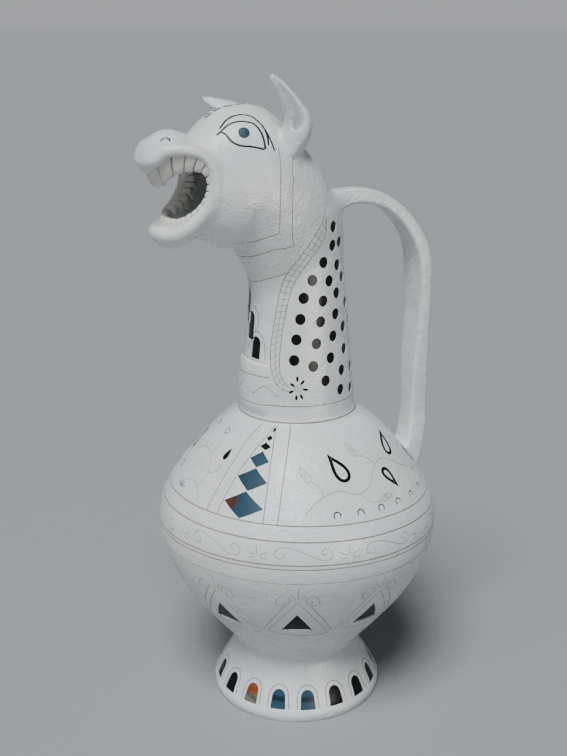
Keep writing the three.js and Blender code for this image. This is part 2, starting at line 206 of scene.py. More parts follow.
class Solid:
    """Points and triangles of a closed surface, facing out."""

    def __init__(self, points, faces):
        self.points = np.asarray(points, float)
        self.faces = np.asarray(faces, int)
        a, b, c = (self.points[self.faces[:, k]] for k in range(3))
        if (a * np.cross(b, c)).sum() < 0:
            self.faces = self.faces[:, ::-1]


def skin(rings, loop=False):
    """A closed form over rings of points, joined end to end or with its ends filled."""
    rings = np.asarray(rings, float)
    m, n = rings.shape[:2]
    points = rings.reshape(-1, 3)
    i = np.arange(m if loop else m - 1)[:, None] * n
    up = (i + n) % (m * n)
    j = np.arange(n)[None]
    k = (j + 1) % n
    faces = [
        np.stack([i + j, i + k, up + k], -1).reshape(-1, 3),
        np.stack([i + j, up + k, up + j], -1).reshape(-1, 3),
    ]
    if not loop:
        points = np.vstack([points, rings[0].mean(0), rings[-1].mean(0)])
        j, k = np.arange(n), (np.arange(n) + 1) % n
        faces.append(np.stack([k, j, np.full(n, m * n)], -1))
        end = (m - 1) * n
        faces.append(np.stack([end + j, end + k, np.full(n, m * n + 1)], -1))
    return Solid(points, np.vstack(faces))


def sections(table, per, around):
    """A form through the sections of a table, the same on both sides."""
    rings = []
    for ahead, low, w1, z1, w2, z2, w3, z3, high in catmull(table, per):
        half = [(w1, z1), (w2, z2), (w3, z3)]
        ring = [(0, low), *half, (0, high), *[(-w, z) for w, z in reversed(half)]]
        curve = catmull(ring, around, closed=True)
        rings.append(place(np.column_stack([np.full(len(curve), ahead), curve])))
    return skin(rings)


def smooth_profile():
    """The profile with its corners kept and the rest rounded."""
    marks = sorted(CORNERS | {len(PROFILE) - 1})
    out = []
    for a, b in zip(marks, marks[1:]):
        run = PROFILE[a:b + 1]
        length = sum(dist(p, q) for p, q in zip(run, run[1:]))
        per = 1 if length < 12 and len(run) == 2 else max(2, round(length / (len(run) - 1) / 3.2))
        out.extend(catmull(run, per)[:-1])
    out.append(np.array(PROFILE[-1], float))
    return np.array(out)


OUTLINE = smooth_profile()


def radius_at(z):
    return np.interp(z, OUTLINE[:, 1], OUTLINE[:, 0])


def smoothstep(x, low, high):
    t = np.clip((x - low) / (high - low), 0, 1)
    return t * t * (3 - 2 * t)


def collar(angle, z):
    """How far the collar stands out of the neck."""
    away = np.abs(np.degrees(angle) % 360 - 180 - COLLAR_MID)
    return COLLAR_OUT * (1 - smoothstep(away, COLLAR_HALF - 5, COLLAR_HALF + 5)) \
        * smoothstep(z, COLLAR_LOW, COLLAR_LOW + 10) * (z <= COLLAR_HIGH)


def wobble(p):
    """The slight unevenness of a hand-made wall, in millimetres."""
    x, y, z = p[..., 0], p[..., 1], p[..., 2]
    return 0.16 * (
        np.sin(0.047 * x + 0.031 * z + 0.6) + np.sin(0.052 * y - 0.040 * z + 2.1)
        + np.sin(0.038 * (x + y) + 0.071 * z) + 0.5 * np.sin(0.11 * x - 0.09 * y + 0.1 * z + 1.0)
    )


def revolve(rows, turns, swell=None, uneven=False):
    """Rows of radius and height turned round the axis."""
    angles = np.arange(turns) / turns * 2 * pi
    rings = []
    for r, z in rows:
        radius = r + (swell(angles, z) if swell else 0)
        ring = np.column_stack([radius * np.cos(angles), radius * np.sin(angles), np.full(turns, z)])
        if uneven:
            push = wobble(ring)
            ring[:, 0] += push * np.cos(angles)
            ring[:, 1] += push * np.sin(angles)
        rings.append(ring)
    return skin(rings)


def rim_loop(column, per):
    """All round the mouth through three columns of its table."""
    near = [row[column:column + 3] for row in RIM]
    far = [(x, -y, z) for x, y, z in reversed(near[1:-1])]
    return catmull(near + far, per, closed=True)


def lips(per=8, around=16):
    run, edge = rim_loop(0, per), rim_loop(4, per)
    radii = [row[3] for row in RIM]
    radii = np.array(radii + radii[-2:0:-1])
    count = len(run)
    radius = np.interp(np.arange(count) / per, np.arange(len(radii) + 1), [*radii, radii[0]])
    along = unit(np.roll(run, -1, 0) - np.roll(run, 1, 0))
    inward = edge - run
    inward = unit(inward - along * (inward * along).sum(1)[:, None])
    out = np.cross(along, inward)
    a = np.arange(around) / around * 2 * pi
    rings = run[:, None] + radius[:, None, None] * (
        inward[:, None] * np.cos(a)[None, :, None] + out[:, None] * np.sin(a)[None, :, None]
    )
    return skin(place(rings), loop=True)


def gape():
    """What is cut away between the jaws."""
    side = [(row[0], row[2]) for row in RIM[1:-1]]
    outline = catmull([(172, 457.5), *side, (172, 516.5)], 4)
    return skin(place([np.insert(outline, 1, aside, axis=1) for aside in (-70, 70)]))


def ear(table, shift=0.0, scale=(1.0, 1.0), skip=0):
    """An ear, or with a shift, a scale and a later start its hollow."""
    fine = catmull(table, 6)[skip:]
    if skip:
        fine[:, 3:5] *= smoothstep(np.arange(len(fine)), -2, 16)[:, None]
    spine = fine[:, :3]
    side = 1 if table[1][1] > 0 else -1
    facing = np.array([0.55, 0.83 * side, 0])
    along = unit(np.gradient(spine, axis=0))
    flat = unit(facing - along * (along @ facing)[:, None])
    wide = np.cross(along, flat)
    a = np.arange(20) / 20 * 2 * pi
    rings = spine[:, None] + shift * flat[:, None] * fine[:, 4][:, None, None] \
        + wide[:, None] * (fine[:, 3] * scale[0])[:, None, None] * np.cos(a)[None, :, None] \
        + flat[:, None] * (fine[:, 4] * scale[1])[:, None, None] * np.sin(a)[None, :, None]
    return skin(place(rings))


def square(v, power):
    return np.sign(v) * np.abs(v) ** power


def rounded(wide, thick, edge, per=4):
    """A rectangle of these half sizes with round corners."""
    out = []
    for k, (a, b) in enumerate(((1, 1), (-1, 1), (-1, -1), (1, -1))):
        for turn in np.radians(np.linspace(0, 90, per + 1) + 90 * k):
            x = a * (wide - edge) + edge * cos(turn)
            y = b * (thick - edge) + edge * sin(turn)
            out.append((x, y))
    return np.array(out)


def strap():
    fine = catmull([(-b, *row) for b, *row in STRAP], 5)
    spine = fine[:, :2]
    along = unit(np.gradient(spine, axis=0))
    out = np.column_stack([-along[:, 1], along[:, 0]])
    rings = []
    for p, n, thick, wide in zip(spine, out, fine[:, 2], fine[:, 3]):
        flat = rounded(wide, thick, STRAP_EDGE)
        q = p[None] + n[None] * flat[:, 1:]
        rings.append(np.column_stack([q[:, 0], flat[:, 0], q[:, 1]]))
    return skin(place(np.array(rings)))


# The upper half as a field of distances, so that clay flows from one form to the next.
LOW = np.array([-150.0, -140.0, CUT_Z - 12])
HIGH = np.array([142.0, 140.0, 592.0])
ORIGIN = tuple(floor(v / VOXEL) for v in LOW)
SHAPE = tuple(np.ceil((HIGH - LOW) / VOXEL).astype(int))
XFORM = openvdb.createLinearTransform(voxelSize=VOXEL)


def field(solid):
    points, faces = solid.points.astype(np.float32), solid.faces.astype(np.uint32)
    grid = openvdb.FloatGrid.createLevelSetFromPolygons(
        points, triangles=faces, transform=XFORM, halfWidth=BAND)
    values = np.empty(SHAPE, np.float32)
    grid.copyToArray(values, ijk=ORIGIN)
    return values


def join(a, b, soft):
    h = np.clip(soft - np.abs(a - b), 0, None) / soft
    return np.minimum(a, b) - h * h * soft / 4


def carve(a, b, soft):
    return -join(-a, b, soft)


def upper_field():
    rows = OUTLINE[OUTLINE[:, 1] > CUT_Z - 30]
    z = sorted({*rows[:, 1], COLLAR_HIGH, COLLAR_HIGH + 0.8})
    solid = field(revolve([(radius_at(v), v) for v in z], 180, collar))
    head = field(sections(HEAD + MUZZLE, 4, 10))
    head = join(head, field(sections(HEAD[-4:] + JAW, 4, 10)), 3)
    solid = join(solid, head, 9)
    solid = join(solid, field(strap()), 8)
    solid = carve(solid, field(gape()), 3)
    solid = join(solid, field(lips()), 10)
    solid = join(solid, field(ear(EAR_TAIL)), 5)
    for table in (NEAR_EAR, FAR_EAR):
        solid = join(solid, field(ear(table)), 7)
    for table in (NEAR_EAR, FAR_EAR):
        solid = carve(solid, field(ear(table, shift=1.2, scale=(0.62, 0.75), skip=10)), 3)
    pocket = [row for row in HOLLOW if row[0] > 25]
    solid = carve(solid, field(sections(pocket, 4, 8)), 2)
    axes = [(ORIGIN[k] + np.arange(SHAPE[k])) * VOXEL for k in range(3)]
    at = np.stack(np.meshgrid(*axes, indexing="ij"), -1)
    return solid - wobble(at).astype(np.float32)


def upper_mesh():
    grid = openvdb.FloatGrid(BAND * VOXEL)
    grid.copyFromArray(upper_field(), ijk=ORIGIN)
    grid.transform = XFORM
    points, quads = grid.convertToQuads(isovalue=0)
    return points.astype(float), quads.astype(int)


def put(name, data):
    obj = bpy.data.objects.new(name, data)
    bpy.context.scene.collection.objects.link(obj)
    return obj


def to_object(name, points, faces):
    mesh = bpy.data.meshes.new(name)
    mesh.from_pydata((np.asarray(points) * MM).tolist(), [], np.asarray(faces).tolist())
    mesh.update()
    return put(name, mesh)


def biggest_shell(bm):
    """Drops everything but the largest connected shell."""
    left, keep = set(bm.verts), set()
    while left:
        stack = [left.pop()]
        shell = set(stack)
        while stack:
            v = stack.pop()
            near = {e.other_vert(v) for e in v.link_edges} & left
            left -= near
            shell |= near
            stack.extend(near)
        keep = max(keep, shell, key=len)
    bmesh.ops.delete(bm, geom=[v for v in bm.verts if v not in keep], context="VERTS")


def zipper(bm, low, high):
    """Triangles between two rings of vertices round the Z axis."""
    def turn(v):
        return atan2(v.co.y, v.co.x)
    low, high = sorted(low, key=turn), sorted(high, key=turn)
    i = j = 0
    n, m = len(low), len(high)
    while i < n or j < m:
        a, b = low[i % n], high[j % m]
        turn_low = turn(low[(i + 1) % n]) + (2 * pi if i + 1 >= n else 0)
        turn_high = turn(high[(j + 1) % m]) + (2 * pi if j + 1 >= m else 0)
        if j >= m or (i < n and turn_low < turn_high):
            bm.faces.new((a, low[(i + 1) % n], b))
            i += 1
        else:
            bm.faces.new((a, high[(j + 1) % m], b))
            j += 1


def outer_shell():
    """The upper half from the field, joined to the turned lower half."""
    points, quads = upper_mesh()
    top = to_object("pitcher", points, quads)
    bm = bmesh.new()
    bm.from_mesh(top.data)
    bmesh.ops.bisect_plane(
        bm, geom=bm.verts[:] + bm.edges[:] + bm.faces[:], plane_co=(0, 0, CUT_Z * MM), plane_no=(0, 0, 1),
        clear_inner=True, dist=1e-7)
    biggest_shell(bm)
    ring_high = [v for v in bm.verts if v.is_valid and any(e.is_boundary for e in v.link_edges)]
    rows = [row for row in OUTLINE if row[1] < CUT_Z - 2]
    rows.append((radius_at(CUT_Z - 1), CUT_Z - 1))
    low = revolve(rows, TURNS, uneven=True)
    last = (len(rows) - 1) * TURNS
    verts = [bm.verts.new(Vector(p) * MM) for p in low.points[:-1]]
    bm.verts.ensure_lookup_table()
    hub = len(low.points) - 1
    for f in low.faces:
        if hub not in f:
            bm.faces.new([verts[k] for k in f])
    zipper(bm, verts[last:last + TURNS], ring_high)
    bmesh.ops.remove_doubles(bm, verts=bm.verts, dist=2e-6)
    bmesh.ops.triangulate(bm, faces=[f for f in bm.faces if len(f.verts) > 4])
    bmesh.ops.recalc_face_normals(bm, faces=bm.faces)
    if bm.calc_volume(signed=True) < 0:
        bmesh.ops.reverse_faces(bm, faces=bm.faces)
    bm.to_mesh(top.data)
    bm.free()
    return top


def evaluated(obj):
    graph = bpy.context.evaluated_depsgraph_get()
    return bpy.data.meshes.new_from_object(obj.evaluated_get(graph), depsgraph=graph)


def boolean(target, tool, operation):
    modifier = target.modifiers.new("cut", "BOOLEAN")
    modifier.solver = "MANIFOLD"
    modifier.operation = operation
    modifier.object = tool
    made = evaluated(target)
    target.modifiers.remove(modifier)
    old = target.data
    target.data = made
    bpy.data.meshes.remove(old)
    bpy.data.objects.remove(tool)


def solid_object(name, solid):
    return to_object(name, solid.points, solid.faces)


def hollow_rows():
    """The profile moved in by the wall, from the floor to the throat."""
    rows = [(63.5, FLOOR)]
    for (r0, z0), (r, z), (r1, z1) in zip(PROFILE, PROFILE[1:], PROFILE[2:]):
        if FLOOR + 6 <= z <= 460:
            slope = unit(np.array([z1 - z0, r0 - r1], float))
            rows.append((r - WALL * slope[0], z - WALL * slope[1]))
    kept = [rows[0]]
    for row in rows[1:]:
        if row[1] > kept[-1][1] + 0.5:
            kept.append(row)
    return kept


def teeth():
    """Teeth all round inside the lips, and a dark band behind them, painted shade that shows in the gaps
    between them.
    """
    fine = 60
    root, edge = rim_loop(0, fine), rim_loop(4, fine)
    low = root[:, 2] < 470
    root[low, 0] = np.minimum(root[low, 0], edge[low, 0] + 2.2)
    steps = np.linalg.norm(np.roll(root, -1, 0) - root, axis=1)
    marks = np.concatenate([[0], np.cumsum(steps)])
    run = TEETH + TEETH[::-1]
    bounds = np.concatenate([[0], np.cumsum([w for w, _ in run])])
    bounds *= marks[-1] / bounds[-1]

    def at(s):
        return int(np.searchsorted(marks, s % marks[-1], side="right") - 1) % len(root)

    solids = []
    for a, b, (_, deep) in zip(bounds, bounds[1:], run):
        i, mid, j = at(a + TOOTH_GAP), at((a + b) / 2), at(b - TOOTH_GAP)
        down, side = edge[mid] - root[mid], root[j] - root[i]
        inside = unit(np.cross(down, side))
        inside = unit(inside + (-0.7 * min(deep / 12, 1), 0, 0))
        half, shift = (deep + TOOTH_OUT) / 2, (deep - TOOTH_OUT) / 2
        turn = (np.arange(16) + 0.5) / 16 * 2 * pi
        rings = []
        for f, wide, thick in TOOTH:
            centre = root[mid] + down * (f if f else -TOOTH_ROOT / np.linalg.norm(down))
            across = (side * (1 - f) + (edge[j] - edge[i]) * f) / 2 * wide
            rings.append(
                centre + across[None] * square(np.cos(turn), 0.25)[:, None]
                + inside[None] * (shift + half * thick * square(np.sin(turn), 0.35))[:, None]
            )
        solids.append(skin(place(np.array(rings))))
    # The dark band, in the colour of the incised lines, is painted shade seen only through the gaps between
    # the teeth.
    along = np.roll(root, -1, 0) - np.roll(root, 1, 0)
    down = edge - root
    inside = unit(np.cross(down, along))
    low = root + SHADE_BAND_SHARE * down
    shade_band = np.stack([
        root - inside * SHADE_BAND_OUT, low - inside * SHADE_BAND_OUT, low + inside * SHADE_BAND_IN, root + inside * SHADE_BAND_IN,
    ], 1)[::6]
    return solids, skin(place(shade_band), loop=True)


def values(items, name, width=1, kind=float):
    """One measure of all items, in rows where it has more than one number."""
    out = np.empty(len(items) * width, kind)
    items.foreach_get(name, out)
    return out.reshape(-1, width) if width > 1 else out


class Outside:
    """The smooth outside before anything is cut in it: points on it and their normals."""

    def __init__(self, mesh):
        mesh.calc_loop_triangles()
        self.points = values(mesh.vertices, "co", 3) / MM
        self.normals = values(mesh.vertex_normals, "vector", 3)
        self.corners = values(mesh.loop_triangles, "vertices", 3, int)
        self.tree = BVHTree.FromPolygons(self.points.tolist(), self.corners.tolist(), all_triangles=True)

    def normal(self, face, at):
        a, b, c = self.points[self.corners[face]]
        ab, ac, ap = b - a, c - a, at - a
        d, e, f, g, h = ab @ ab, ab @ ac, ac @ ac, ap @ ab, ap @ ac
        over = d * f - e * e
        v = (f * g - e * h) / over
        w = (d * h - e * g) / over
        normals = self.normals[self.corners[face]]
        return unit((1 - v - w) * normals[0] + v * normals[1] + w * normals[2])

    def nearest(self, p):
        hit, _, face, _ = self.tree.find_nearest(Vector(p))
        hit = np.array(hit)
        return hit, self.normal(face, hit)

    def turned(self, turn, z):
        """The point at a bearing from the head, in degrees towards the near side, and a height."""
        a = radians(turn)
        ray = Vector((-cos(a), -sin(a), 0))
        hit, _, face, _ = self.tree.ray_cast(Vector((0, 0, z)), ray)
        hit = np.array(hit)
        return hit, self.normal(face, hit)


def thin(obj, faces):
    """Fewer triangles over the same form."""
    modifier = obj.modifiers.new("thin", "DECIMATE")
    modifier.ratio = faces / sum(len(p.vertices) - 2 for p in obj.data.polygons)
    made = evaluated(obj)
    obj.modifiers.remove(modifier)
    obj.data = made


def grouped(obj, slots):
    """The materials of the pitcher on an object, one number for every face."""
    obj.data.materials.clear()
    for material in MATERIALS:
        obj.data.materials.append(material)
    each = np.broadcast_to(slots, len(obj.data.polygons)).astype(np.int32)
    obj.data.polygons.foreach_set("material_index", each)


def feed(tree, node, inputs):
    """The inputs of a node by name: a link where the value is a node's output, otherwise a number."""
    for name, value in inputs.items():
        if isinstance(value, bpy.types.NodeSocket):
            tree.links.new(value, node.inputs[name])
        else:
            node.inputs[name].default_value = value
    return node


def blank(name, roughness, specular=0.5):
    material = bpy.data.materials.new(name)
    material.use_nodes = True
    tree = material.node_tree
    looks = {"Roughness": roughness, "Specular IOR Level": specular}
    shader = feed(tree, tree.nodes["Principled BSDF"], looks)
    where = tree.nodes.new("ShaderNodeTexCoord").outputs["Object"]
    return material, tree, shader, where


def noise(tree, where, scale, detail=2.0):
    node = tree.nodes.new("ShaderNodeTexNoise")
    return feed(tree, node, {"Scale": scale, "Detail": detail, "Vector": where}).outputs["Fac"]


def ramp(tree, factor, *stops):
    node = tree.nodes.new("ShaderNodeValToRGB")
    elements = node.color_ramp.elements
    for k, (at, colour) in enumerate(stops):
        element = elements[k] if k < 2 else elements.new(at)
        element.position = at
        element.color = (*colour, 1)
    tree.links.new(factor, node.inputs["Fac"])
    return node.outputs["Color"]


def between(tree, value, low, high):
    node = tree.nodes.new("ShaderNodeMapRange")
    return feed(tree, node, {"From Min": low, "From Max": high, "Value": value}).outputs["Result"]


def mixed(tree, factor, a, b):
    node = tree.nodes.new("ShaderNodeMix")
    node.data_type = "RGBA"
    return feed(tree, node, {"Factor": factor, "A": a, "B": b}).outputs["Result"]


def bumped(tree, shader, where, *layers):
    """Bumps one over the other: scale, detail, strength, height in metres."""
    normal = None
    for scale, detail, strength, height in layers:
        node = tree.nodes.new("ShaderNodeBump")
        wave = noise(tree, where, scale, detail)
        feed(tree, node, {"Strength": strength, "Distance": height, "Height": wave})
        if normal:
            tree.links.new(normal, node.inputs["Normal"])
        normal = node.outputs["Normal"]
    tree.links.new(normal, shader.inputs["Normal"])


def height_in(tree, where):
    node = tree.nodes.new("ShaderNodeSeparateXYZ")
    tree.links.new(where, node.inputs["Vector"])
    return node.outputs["Z"]


def white_glaze(name, cool, warm, roughness):
    """A satin glaze, a little uneven and finely pitted, cooler and warmer in soft patches."""
    material, tree, shader, where = blank(name, roughness)
    colour = ramp(tree, noise(tree, where, 14), (0.35, cool), (0.65, warm))
    smooth, coarse = (roughness - 0.07,) * 3, (roughness + 0.09,) * 3
    rough = ramp(tree, noise(tree, where, 90, 3), (0.3, smooth), (0.7, coarse))
    feed(tree, shader, {"Base Color": colour, "Roughness": rough})
    bumped(tree, shader, where, SLOW_WAVES, SMALL_WAVES, PITTING)
    return material


def plain(name, colour, roughness, specular=0.3):
    """A colour with slightly paler specks."""
    material, tree, shader, where = blank(name, roughness, specular)
    pale = tuple(c * 1.35 + 0.004 for c in colour)
    specks = ramp(tree, noise(tree, where, 160, 3), (0.35, colour), (0.75, pale))
    feed(tree, shader, {"Base Color": specks})
    bumped(tree, shader, where, (420, 2, 0.25, 0.0003))
    return material


def blue_glaze():
    """Blue with darker runs, a painted reflection as a dark band across the windows, and one brown corner."""
    material, tree, shader, where = blank("blue glaze", 0.35, 0.25)
    blue, deep, dark = (0.023, 0.061, 0.096), (0.014, 0.039, 0.062), (0.008, 0.019, 0.034)
    up = height_in(tree, where)
    cloudy = ramp(tree, noise(tree, where, 70, 3), (0.3, deep), (0.62, blue))
    # The dark band across the foot windows at middle height is a painted reflection of the horizon in the
    # glossy glaze.
    band = between(tree, up, 0.010, 0.030)
    painted_reflection = ramp(tree, band, (0.0, blue), (0.36, blue), (0.42, dark), (0.56, dark), (0.64, blue))
    glazed = mixed(tree, between(tree, up, 0.06, 0.07), painted_reflection, cloudy)
    corner = tree.nodes.new("ShaderNodeVectorMath")
    corner.operation = "DISTANCE"
    tree.links.new(where, corner.inputs[0])
    corner.inputs[1].default_value = outside.turned(*BROWN_CORNER)[0] * MM
    far = between(tree, corner.outputs["Value"], 0.0065, 0.013)
    brown = ramp(tree, noise(tree, where, 200, 3), (0.4, (0.05, 0.028, 0.02)), (0.6, (0.115, 0.034, 0.016)))
    feed(tree, shader, {"Base Color": mixed(tree, far, brown, glazed)})
    return material


def rust_glaze():
    """Rust above, ashy grey below."""
    material, tree, shader, where = blank("rust glaze", 0.35, 0.25)
    rust = ramp(tree, noise(tree, where, 160, 3), (0.35, (0.20, 0.036, 0.014)), (0.7, (0.30, 0.075, 0.03)))
    grey = ramp(tree, noise(tree, where, 260, 3), (0.4, (0.07, 0.07, 0.055)), (0.6, (0.16, 0.15, 0.12)))
    above = between(tree, height_in(tree, where), 0.0165, 0.0205)
    feed(tree, shader, {"Base Color": mixed(tree, above, grey, rust)})
    return material


# Bumps of the glaze: scale, detail, strength, height in metres.
SLOW_WAVES = (30, 1, 0.6, 0.0024)
SMALL_WAVES = (140, 2, 0.6, 0.001)
PITTING = (620, 2, 0.9, 0.0005)
# The brown corner of a blue lozenge: bearing and height.
BROWN_CORNER = (30.5, 228.5)

# The slots of the pitcher, in the order in which its materials are made.
WHITE, LINE, FAINT, INK, BLACK, BLUE, RUST, TOOTH_WHITE = range(8)


def pitcher_materials():
    return [
        white_glaze("white glaze", (0.72, 0.75, 0.765), (0.765, 0.765, 0.75), 0.27),
        plain("incised line", (0.22, 0.2, 0.17), 0.6),
        plain("faint line", (0.36, 0.35, 0.325), 0.5),
        plain("black line", (0.012, 0.016, 0.020), 0.4),
        plain("black glaze", (0.004, 0.004, 0.005), 0.28, 0.12),
        blue_glaze(),
        rust_glaze(),
        white_glaze("tooth glaze", (0.68, 0.68, 0.64), (0.74, 0.71, 0.64), 0.33),
    ]


class Cutters:
    """Closed forms that don't touch each other, taken off or added to the pitcher in one go."""

    def __init__(self):
        self.points, self.faces, self.slots, self.count = [], [], [], 0

    def add(self, solid, slot, wall=None):
        self.points.append(solid.points)
        self.faces.append(solid.faces + self.count)
        slots = np.full(len(solid.faces), slot)
        if wall is not None:
            slots[wall] = WHITE
        self.slots.append(slots)
        self.count += len(solid.points)

    def work(self, name, operation="DIFFERENCE"):
        tool = to_object(name, np.vstack(self.points), np.vstack(self.faces))
        grouped(tool, np.concatenate(self.slots))
        boolean(pitcher, tool, operation)


def spread(points, step, closed=False):
    """The run with points added, so that none are farther apart than the step."""
    points = np.asarray(points, float)
    ends = np.vstack([points, points[:1]]) if closed else points
    out = []
    for a, b in zip(ends, ends[1:]):
        n = max(1, ceil(np.linalg.norm(b - a) / step))
        out.extend(a + (b - a) * k / n for k in range(n))
    if not closed:
        out.append(ends[-1])
    return np.array(out)


def groove(track, width, depth=0.4, closed=False):
    """A cutter along points on the surface, narrower at its floor and reaching 1 mm above."""
    p = np.array([t[0] for t in track])
    n = unit(np.array([t[1] for t in track]))
    if closed:
        before, after = p - np.roll(p, 1, 0), np.roll(p, -1, 0) - p
    else:
        step = np.diff(p, axis=0)
        before, after = np.vstack([step[:1], step]), np.vstack([step, step[-1:]])
    before, after = unit(before), unit(after)
    side_b = np.cross(n, after)
    side = unit(np.cross(n, before) + side_b)
    side /= np.clip((side * side_b).sum(1), 0.4, 1)[:, None]
    top = min(width / 2 * (1 + 0.5 / depth), width)
    low = width / 2 * 0.45
    ring = np.stack([
        p + side * top + n, p - side * top + n, p - side * low - n * depth, p + side * low - n * depth,
    ], 1)
    if not closed:
        ring[0] -= before[0] * width * 0.2
        ring[-1] += after[-1] * width * 0.2
    return skin(ring, loop=closed)


def patch(outline, depth):
    """A cutter over a filled outline, its floor at an even depth, and which of its faces are walls."""
    pts = np.array([t[0] for t in outline])
    centre, up = outside.nearest(pts.mean(0))
    flat = unit(np.array([t[1] for t in outline]).mean(0) + up)
    inner = np.array([outside.nearest(centre + (p - centre) * 0.45)[0] for p in pts])
    rings = [inner + flat, pts + flat, pts - flat * depth, inner - flat * depth]
    solid = skin(np.array(rings))
    ring_of = np.minimum(solid.faces // len(pts), len(rings))
    return solid, (ring_of.min(1) == 1) & (ring_of.max(1) == 2)


def turned(points, step=3.0, closed=False):
    """A run of bearings and heights as points on foot, body or neck."""
    flat = np.asarray(points, float)
    scale = np.array([radians(1) * float(radius_at(flat[:, 1].mean())), 1.0])
    return [outside.turned(*q) for q in spread(flat * scale, step, closed) / scale]


def on_head(points, side=1, step=3.0):
    """A curve through points ahead, aside and up as points on the head."""
    run = catmull(np.asarray(points, float) * (1, side, 1), 4)
    return [outside.nearest(q) for q in spread(place(run), step)]


def laid(turn, z, outline, spin=0.0):
    """An outline in millimetres, laid on the surface about one point: right and up."""
    centre, up = outside.turned(turn, z)
    a = radians(turn)
    east = np.array([sin(a), -cos(a), 0])
    east = unit(east - up * (east @ up))
    north = np.cross(up, east)
    north = north if north[2] > 0 else -north
    c, s = cos(radians(spin)), sin(radians(spin))
    return [outside.nearest(centre + east * (x * c - y * s) + north * (x * s + y * c)) for x, y in outline]


def moved(points, shift=0.0, flip=1, rise=0.0):
    return [(shift + flip * a, z + rise) for a, z in points]


def scratch(group, run, width, slot, **how):
    """A groove along bearings and heights, moved or mirrored first."""
    group.add(groove(turned(moved(run, **how)), width), slot)


def inlay(track, depth, slot, white_wall=True):
    """A filled outline sunk in the surface, with walls white or of its own colour."""
    solid, wall = patch(track, depth)
    fills.add(solid, slot, wall if white_wall else None)


def oval(rx, ry, count=20):
    turns = [2 * pi * k / count for k in range(count)]
    return [(rx * cos(a), ry * sin(a)) for a in turns]


def drop(wide, tall, count=26):
    """A drop with its point up."""
    turns = [2 * pi * k / count for k in range(count)]
    return [(wide * sin(a) * sin(a / 2) ** 1.4 * 1.25, tall * cos(a)) for a in turns]


def arch(mid, foot, half, high, flare=1.0):
    """A round head on straight sides, as bearings and heights."""
    across = half / float(radius_at(foot + high / 2)) * 180 / pi
    spring = high - half * 0.9
    out = [(mid - across * flare, foot)]
    for k in range(13):
        a = pi * (1 - k / 12)
        out.append((mid + across * cos(a), foot + spring + (high - spring) * sin(a)))
    out.append((mid + across * flare, foot))
    return out


def resampled(points, count):
    """Even steps along a curve of bearings and heights."""
    run = catmull(points, 6)
    steps = np.linalg.norm(np.diff(run * (0.8, 1), axis=0), axis=1)
    marks = np.concatenate([[0], np.cumsum(steps)])
    at = np.linspace(0, marks[-1], count)
    return np.column_stack([np.interp(at, marks, run[:, k]) for k in (0, 1)])


# The pitcher: its shell, hollowed, then cut line by line in groups that don't cross within a group.
pitcher = outer_shell()
outside = Outside(pitcher.data)
thin(pitcher, OUTSIDE_FACES)
boolean(pitcher, solid_object("bore", revolve(hollow_rows(), 48)), "DIFFERENCE")
boolean(pitcher, solid_object("head hollow", sections(HOLLOW, 2, 5)), "DIFFERENCE")
MATERIALS = pitcher_materials()
grouped(pitcher, WHITE)
fills, first, second, third, fourth = Cutters(), Cutters(), Cutters(), Cutters(), Cutters()

# Rings: height, sway, bearing where they are highest, width, slot.
RINGS = [
    (297.5, 2.0, 80, 0.8, LINE), (284.3, 0.6, 90, 1.3, LINE), (212.3, 4.6, 28, 1.1, LINE),
    (200.6, 4.6, 26, 1.2, LINE), (180.6, 4.5, 45, 1.2, LINE), (177.0, 4.5, 45, 1.1, LINE),
    (164.6, 3.2, 45, 1.0, FAINT),
]
RING_STEP = 2
# A point that stands farther off the profile is on the handle.
HANDLE_RISE = 4
count = 360 // RING_STEP
for z, sway, phase, width, slot in RINGS:
    bearings = [RING_STEP * k for k in range(count)]
    track = [outside.turned(a, z + sway * cos(radians(a - phase))) for a in bearings]
    clear = [hypot(*at[:2]) - float(radius_at(at[2])) < HANDLE_RISE for at, _ in track]
    if all(clear):
        first.add(groove(track, width, closed=True), slot)
        continue
    start = next(k for k in range(count) if not clear[k - 1] and clear[k])
    track, clear = track[start:] + track[:start], clear[start:] + clear[:start]
    first.add(groove(track[:clear.index(False)], width), slot)

# The slanting bands of lozenges on the shoulder, near side: bearings and heights.
BAND_LINES = [
    [(31.0, 282.6), (26.4, 269.6), (25.2, 255.7), (23.4, 239.1), (22.4, 217.5)],
    [(44.0, 282.6), (36.8, 267.8), (31.7, 250.5), (29.2, 232.9), (28.2, 217.2)],
    [(45.8, 282.6), (48.5, 265.7), (49.6, 242.1), (50.2, 217.0)],
    [(58.6, 282.6), (58.0, 263.8), (57.0, 242.9), (56.4, 216.9)],
]
LOZENGES = [
    ([(43.9, 280.6), (45.5, 281.4), (46.1, 279.4), (44.2, 278.2)], BLACK),
    ([(41.3, 274.7), (43.8, 276.7), (46.0, 274.6), (43.6, 272.6)], BLACK),
    ([(38.6, 268.8), (42.2, 271.8), (46.6, 269.1), (43.4, 266.6)], BLACK),
    ([(35.0, 260.2), (42.0, 265.8), (47.8, 259.2), (40.8, 254.4)], BLUE),
    ([(31.6, 246.4), (40.9, 254.0), (49.0, 244.7), (39.8, 237.4)], BLUE),
    ([(29.4, 227.8), (39.0, 237.2), (49.4, 226.5), (39.4, 217.9)], BLUE),
]
for side in (1, -1):
    for group, run in zip((second, second, third, second), BAND_LINES):
        scratch(group, run, 0.85, LINE, flip=side)
    for shape, slot in LOZENGES:
        inlay(turned(moved(shape, flip=side), closed=True), 0.3, slot, slot == BLACK)

